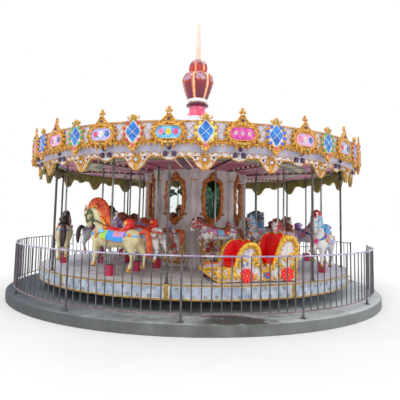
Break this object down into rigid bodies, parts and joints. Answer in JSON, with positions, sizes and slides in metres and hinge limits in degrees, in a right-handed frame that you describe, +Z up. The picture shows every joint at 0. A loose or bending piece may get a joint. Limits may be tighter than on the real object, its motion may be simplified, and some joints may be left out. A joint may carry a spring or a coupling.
{
  "type": "fairground carousel",
  "caption": "Fairground carousel on a round concrete plinth, with a fence, a turning platform of rising horses and chariots, and a crowned tent roof.",
  "frame": {"origin": "centre of the plinth, on the ground", "axes": "+Z up; -Y towards the side that the picture shows, +X to the right of it"},
  "size_m": [9.768, 9.768, 7.812],
  "materials": {
    "concrete": null,
    "painted_steel": "pale lavender-grey paint with rust",
    "grease_steel": "dark greased structural steel",
    "deck_paint": "worn light grey tread plate",
    "housing_paint": "grey-mauve painted panels with gold mouldings and mirrors",
    "ceiling_paint": "rose painted ceiling panels",
    "canopy_paint": "gilded fibreglass mouldings",
    "roof_fabric": "pale lavender-white coated roof fabric",
    "crown_paint": "pink and maroon fibreglass with gold ribs",
    "spire_paint": "cream fibreglass",
    "horse_shell": "painted fibreglass, each horse in its own colours",
    "chariot_shell": "white and gold fibreglass with red seats"
  },
  "bodies": {
    "ground": {"concrete_plinth": "concrete", "bearing_pedestal": "grease_steel", "fence_panel_1": "painted_steel", "fence_panel_2": "painted_steel", "fence_panel_3": "painted_steel", "fence_panel_4": "painted_steel", "fence_panel_5": "painted_steel", "fence_panel_6": "painted_steel", "fence_panel_7": "painted_steel", "fence_panel_8": "painted_steel", "fence_panel_9": "painted_steel", "fence_panel_10": "painted_steel", "fence_panel_11": "painted_steel", "fence_panel_12": "painted_steel"},
    "turntable": {"turntable_frame": "grease_steel", "deck_quadrant_1": "deck_paint", "deck_quadrant_2": "deck_paint", "deck_quadrant_3": "deck_paint", "deck_quadrant_4": "deck_paint", "centre_housing": "housing_paint", "canopy_sweep_1": "ceiling_paint", "canopy_sweep_2": "ceiling_paint", "canopy_sweep_3": "ceiling_paint", "canopy_sweep_4": "ceiling_paint", "canopy_sweep_5": "ceiling_paint", "canopy_sweep_6": "ceiling_paint", "canopy_sweep_7": "ceiling_paint", "canopy_sweep_8": "ceiling_paint", "cornice_1": "canopy_paint", "cornice_2": "canopy_paint", "cornice_3": "canopy_paint", "cornice_4": "canopy_paint", "cornice_5": "canopy_paint", "roof_tent": "roof_fabric", "crown_neck": "crown_paint", "crown_bulb": "crown_paint", "crown_spire": "spire_paint", "chariot_1": "chariot_shell", "chariot_2": "chariot_shell"},
    "horse_1c": {"horse_1c": "horse_shell"},
    "horse_2a": {"horse_2a": "horse_shell"},
    "horse_2b": {"horse_2b": "horse_shell"},
    "horse_2c": {"horse_2c": "horse_shell"},
    "horse_3a": {"horse_3a": "horse_shell"},
    "horse_3b": {"horse_3b": "horse_shell"},
    "horse_3c": {"horse_3c": "horse_shell"},
    "horse_4a": {"horse_4a": "horse_shell"},
    "horse_4b": {"horse_4b": "horse_shell"},
    "horse_4c": {"horse_4c": "horse_shell"},
    "horse_5c": {"horse_5c": "horse_shell"},
    "horse_6a": {"horse_6a": "horse_shell"},
    "horse_6b": {"horse_6b": "horse_shell"},
    "horse_6c": {"horse_6c": "horse_shell"},
    "horse_7a": {"horse_7a": "horse_shell"},
    "horse_7b": {"horse_7b": "horse_shell"},
    "horse_7c": {"horse_7c": "horse_shell"},
    "horse_8a": {"horse_8a": "horse_shell"},
    "horse_8b": {"horse_8b": "horse_shell"},
    "horse_8c": {"horse_8c": "horse_shell"}
  },
  "joints": [
    {"name": "platform_turn", "type": "hinge", "parent": "ground", "child": "turntable", "pos_m": [0, 0, 0.5], "axis": [0, 0, 1], "continuous": true},
    {"name": "horse_1c_gallop", "type": "slide", "parent": "turntable", "child": "horse_1c", "axis": [0, 0, 1], "range_m": [-0.12, 0.08]},
    {"name": "horse_2a_gallop", "type": "slide", "parent": "turntable", "child": "horse_2a", "axis": [0, 0, 1], "range_m": [-0.06, 0.14]},
    {"name": "horse_2b_gallop", "type": "slide", "parent": "turntable", "child": "horse_2b", "axis": [0, 0, 1], "range_m": [-0.07, 0.13]},
    {"name": "horse_2c_gallop", "type": "slide", "parent": "turntable", "child": "horse_2c", "axis": [0, 0, 1], "range_m": [-0.14, 0.06]},
    {"name": "horse_3a_gallop", "type": "slide", "parent": "turntable", "child": "horse_3a", "axis": [0, 0, 1], "range_m": [-0.07, 0.13]},
    {"name": "horse_3b_gallop", "type": "slide", "parent": "turntable", "child": "horse_3b", "axis": [0, 0, 1], "range_m": [-0.13, 0.07]},
    {"name": "horse_3c_gallop", "type": "slide", "parent": "turntable", "child": "horse_3c", "axis": [0, 0, 1], "range_m": [-0.08, 0.12]},
    {"name": "horse_4a_gallop", "type": "slide", "parent": "turntable", "child": "horse_4a", "axis": [0, 0, 1], "range_m": [-0.12, 0.08]},
    {"name": "horse_4b_gallop", "type": "slide", "parent": "turntable", "child": "horse_4b", "axis": [0, 0, 1], "range_m": [-0.08, 0.12]},
    {"name": "horse_4c_gallop", "type": "slide", "parent": "turntable", "child": "horse_4c", "axis": [0, 0, 1], "range_m": [-0.13, 0.07]},
    {"name": "horse_5c_gallop", "type": "slide", "parent": "turntable", "child": "horse_5c", "axis": [0, 0, 1], "range_m": [-0.07, 0.13]},
    {"name": "horse_6a_gallop", "type": "slide", "parent": "turntable", "child": "horse_6a", "axis": [0, 0, 1], "range_m": [-0.06, 0.14]},
    {"name": "horse_6b_gallop", "type": "slide", "parent": "turntable", "child": "horse_6b", "axis": [0, 0, 1], "range_m": [-0.14, 0.06]},
    {"name": "horse_6c_gallop", "type": "slide", "parent": "turntable", "child": "horse_6c", "axis": [0, 0, 1], "range_m": [-0.11, 0.09]},
    {"name": "horse_7a_gallop", "type": "slide", "parent": "turntable", "child": "horse_7a", "axis": [0, 0, 1], "range_m": [-0.13, 0.07]},
    {"name": "horse_7b_gallop", "type": "slide", "parent": "turntable", "child": "horse_7b", "axis": [0, 0, 1], "range_m": [-0.07, 0.13]},
    {"name": "horse_7c_gallop", "type": "slide", "parent": "turntable", "child": "horse_7c", "axis": [0, 0, 1], "range_m": [-0.14, 0.06]},
    {"name": "horse_8a_gallop", "type": "slide", "parent": "turntable", "child": "horse_8a", "axis": [0, 0, 1], "range_m": [-0.1, 0.1]},
    {"name": "horse_8b_gallop", "type": "slide", "parent": "turntable", "child": "horse_8b", "axis": [0, 0, 1], "range_m": [-0.13, 0.07]},
    {"name": "horse_8c_gallop", "type": "slide", "parent": "turntable", "child": "horse_8c", "axis": [0, 0, 1], "range_m": [-0.08, 0.12]}
  ]
}
